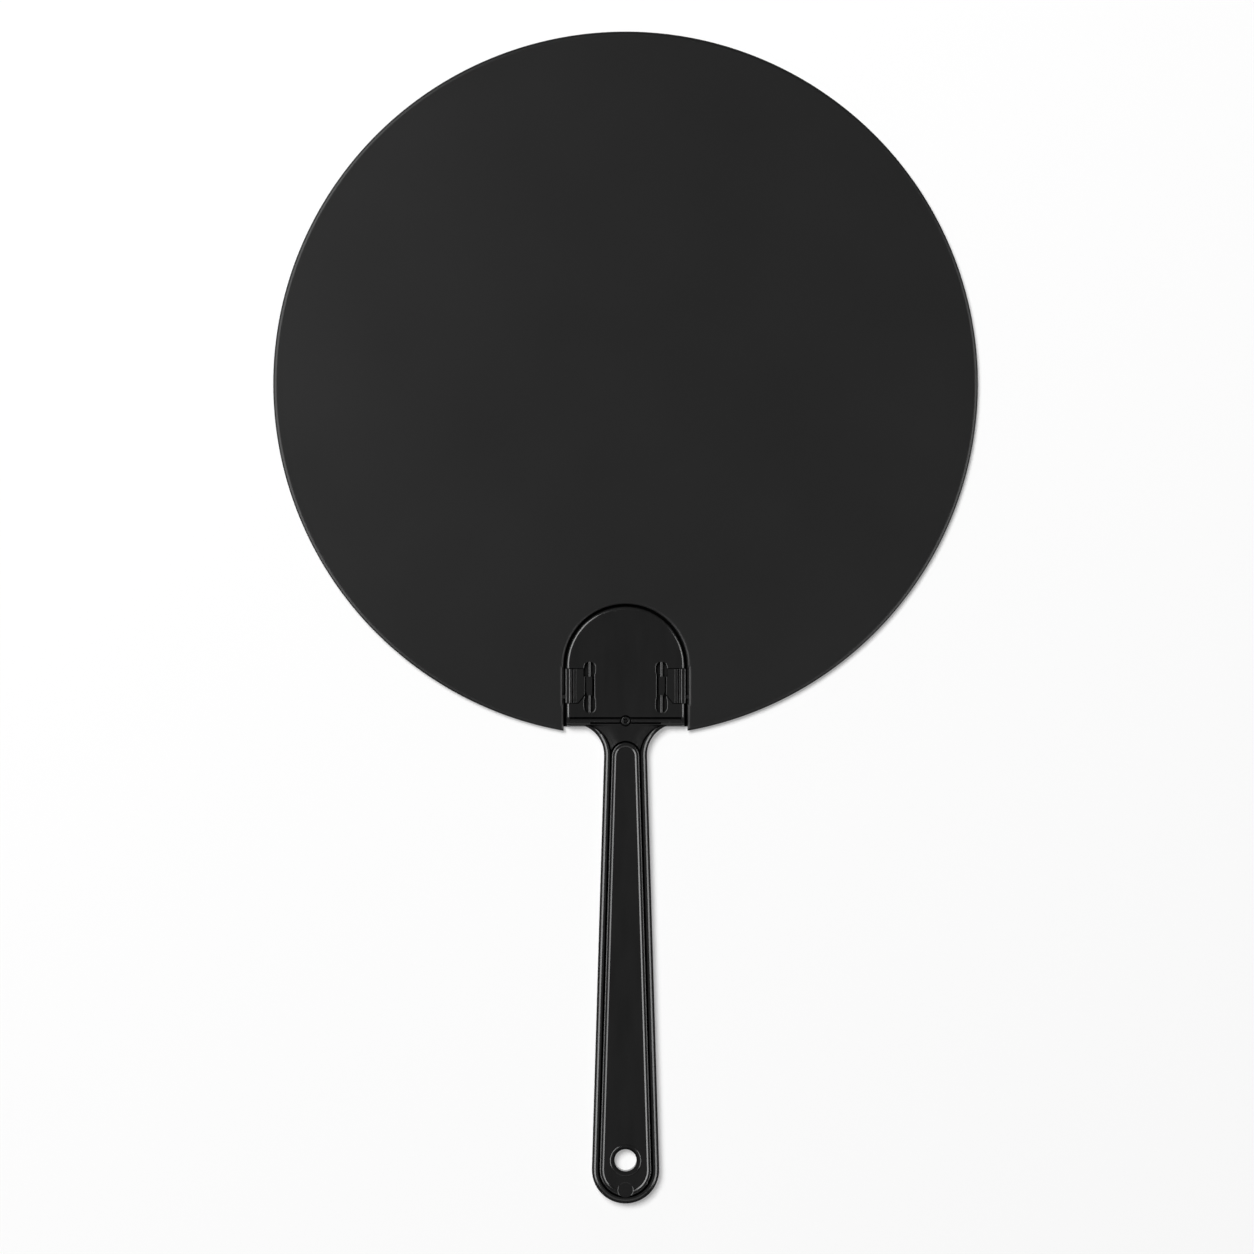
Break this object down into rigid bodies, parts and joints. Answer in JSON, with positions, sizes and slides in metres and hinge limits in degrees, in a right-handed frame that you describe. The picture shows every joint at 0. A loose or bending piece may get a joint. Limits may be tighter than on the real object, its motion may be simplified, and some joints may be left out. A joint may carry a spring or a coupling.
{
  "type": "round uchiwa fan",
  "caption": "Round flat hand fan: a stiff black plastic sheet clipped by a hinged cover and side clasps into the head of a tapered handle with a hanging hole.",
  "frame": {"origin": "on the surface that the fan lies on, at the middle of its length and width", "axes": "+X across the fan, +Y from the grip to the sheet, +Z out of the front face"},
  "size_m": [0.24, 0.3988, 0.0047],
  "materials": {
    "sheet_plastic": "calendered black polypropylene sheet, satin",
    "handle_plastic": "injection moulded black plastic, semi-gloss",
    "pin_plastic": "drawn black plastic rod, smooth"
  },
  "bodies": {
    "handle": {"handle": "handle_plastic", "fan_sheet": "sheet_plastic", "cover_hinge_pin": "pin_plastic", "grip_panel": "handle_plastic", "grip_back_panel": "handle_plastic", "hanging_eyelet": "handle_plastic"},
    "cover": {"front_cover": "handle_plastic", "left_clasp_pin": "pin_plastic", "right_clasp_pin": "pin_plastic"},
    "left_clasp": {"left_clasp": "handle_plastic"},
    "right_clasp": {"right_clasp": "handle_plastic"}
  },
  "joints": [
    {"name": "cover_hinge", "type": "hinge", "parent": "handle", "child": "cover", "pos_m": [0, -0.03575, 0.003], "axis": [1, 0, 0], "range_deg": [0, 85]},
    {"name": "left_clasp_hinge", "type": "hinge", "parent": "cover", "child": "left_clasp", "pos_m": [-0.0122, -0.0234, 0.00345], "axis": [0, 1, 0], "range_deg": [0, 105]},
    {"name": "right_clasp_hinge", "type": "hinge", "parent": "cover", "child": "right_clasp", "pos_m": [0.0122, -0.0234, 0.00345], "axis": [0, -1, 0], "range_deg": [0, 105]}
  ]
}
